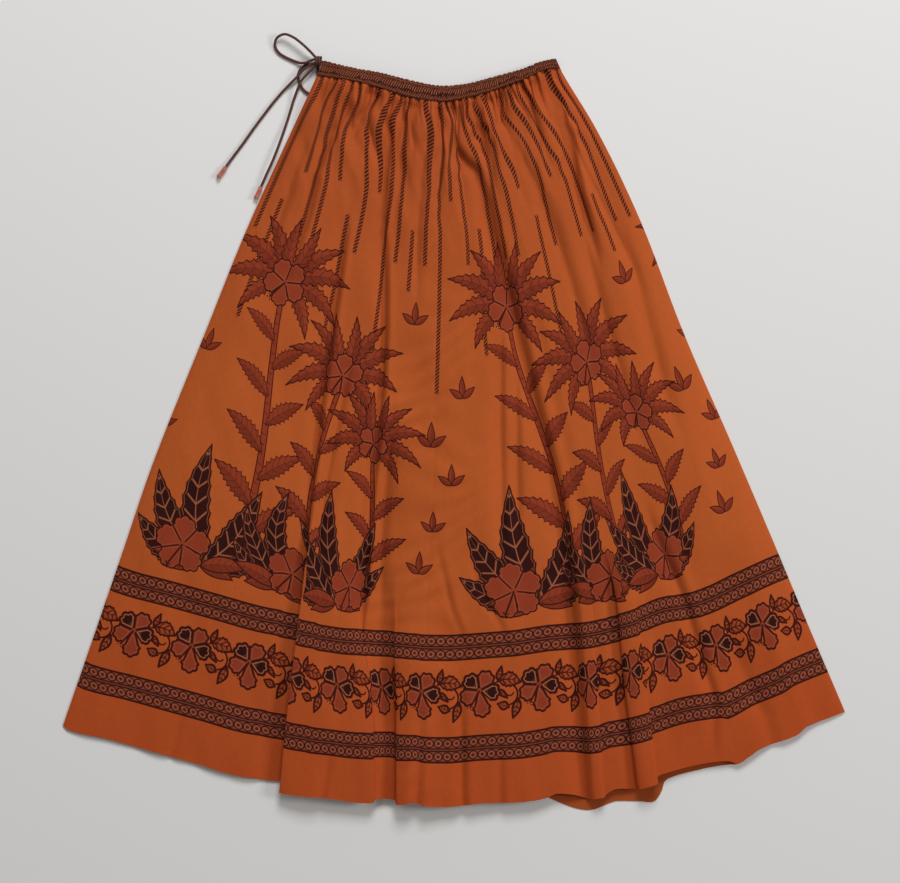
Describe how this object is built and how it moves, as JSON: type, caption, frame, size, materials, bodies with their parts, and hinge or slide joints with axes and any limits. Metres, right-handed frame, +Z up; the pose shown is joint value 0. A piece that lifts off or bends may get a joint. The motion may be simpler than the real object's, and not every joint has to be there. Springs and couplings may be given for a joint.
{
  "type": "flared skirt",
  "caption": "Long flared skirt with a gathered drawstring waist, laid flat with its front up: front in two panels, one back, a waist casing and a tied cord with tipped ends.",
  "frame": {"origin": "middle of the box round the skirt's cloth, on the surface that it lies on", "axes": "+Z up, away from the surface; +Y towards the waist; +X towards the side edge that is on the right seen from above. The tie is at the other end of the waist"},
  "size_m": [1.0165, 1.0065, 0.0161],
  "materials": {
    "cloth": "matt printed cotton",
    "casing": "matt printed cotton, gathered",
    "cord": "round braided cord",
    "tip": "satin copper colour"
  },
  "bodies": {
    "root": {"front_left": "cloth", "front_right": "cloth", "back": "cloth", "casing_front": "casing", "casing_back": "casing", "knot": "cord", "loop_big": "cord", "loop_small": "cord", "tail_long": "cord", "tail_short": "cord", "tip_long": "tip", "tip_short": "tip"}
  },
  "joints": []
}
